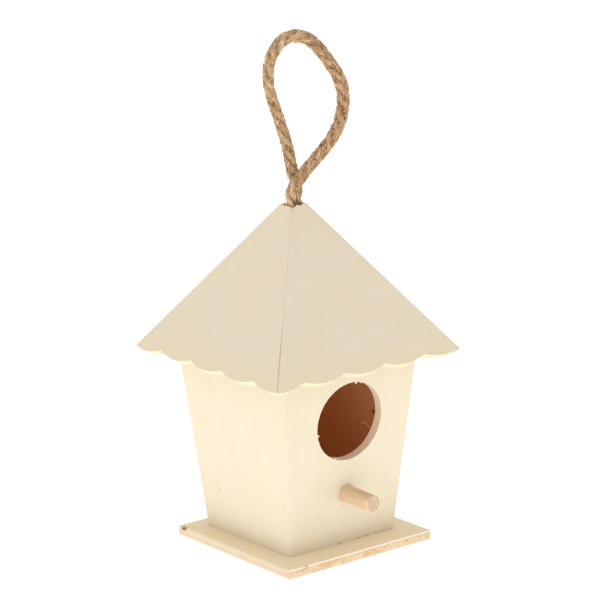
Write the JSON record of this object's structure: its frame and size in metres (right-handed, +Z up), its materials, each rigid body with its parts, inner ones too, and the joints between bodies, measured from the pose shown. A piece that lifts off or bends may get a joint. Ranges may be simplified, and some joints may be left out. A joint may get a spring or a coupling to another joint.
{
  "type": "birdhouse",
  "caption": "Small unpainted plywood birdhouse with flared walls, a pyramid roof with a scalloped eave, a round entrance, a dowel perch, a square base and a jute hanging loop.",
  "frame": {"origin": "on the surface that the base plate stands on, under the middle of the roof", "axes": "+Z up through the tip of the roof, -Y out of the front wall with the entrance and the perch, +X to the right when facing the front wall"},
  "size_m": [0.0808, 0.0808, 0.1786],
  "materials": {
    "base_plywood": "raw sanded plywood, orange-tan core on its edges",
    "wall_plywood": "raw sanded pale plywood, faint upright grain",
    "roof_plywood": "raw sanded pale plywood, faint grain along the eave",
    "perch_dowel": "raw sanded hardwood dowel",
    "jute_rope": "three-strand twisted natural jute with loose fibres"
  },
  "bodies": {
    "house": {"base_plate": "base_plywood", "front_wall": "wall_plywood", "back_wall": "wall_plywood", "left_wall": "wall_plywood", "right_wall": "wall_plywood", "perch": "perch_dowel", "roof_front": "roof_plywood", "roof_back": "roof_plywood", "roof_left": "roof_plywood", "roof_right": "roof_plywood"},
    "hanger": {"rope_neck": "jute_rope", "rope_knot": "jute_rope"},
    "loop": {"rope_loop": "jute_rope"}
  },
  "joints": [
    {"name": "hanger_swivel", "type": "hinge", "parent": "house", "child": "hanger", "pos_m": [0, 0, 0.119], "axis": [0, 0, 1], "continuous": true},
    {"name": "loop_tilt", "type": "hinge", "parent": "hanger", "child": "loop", "pos_m": [0, 0, 0.122], "axis": [0.7771, -0.6293, 0], "range_deg": [-90, 90], "stiffness_Nm_per_rad": 0.0025}
  ]
}
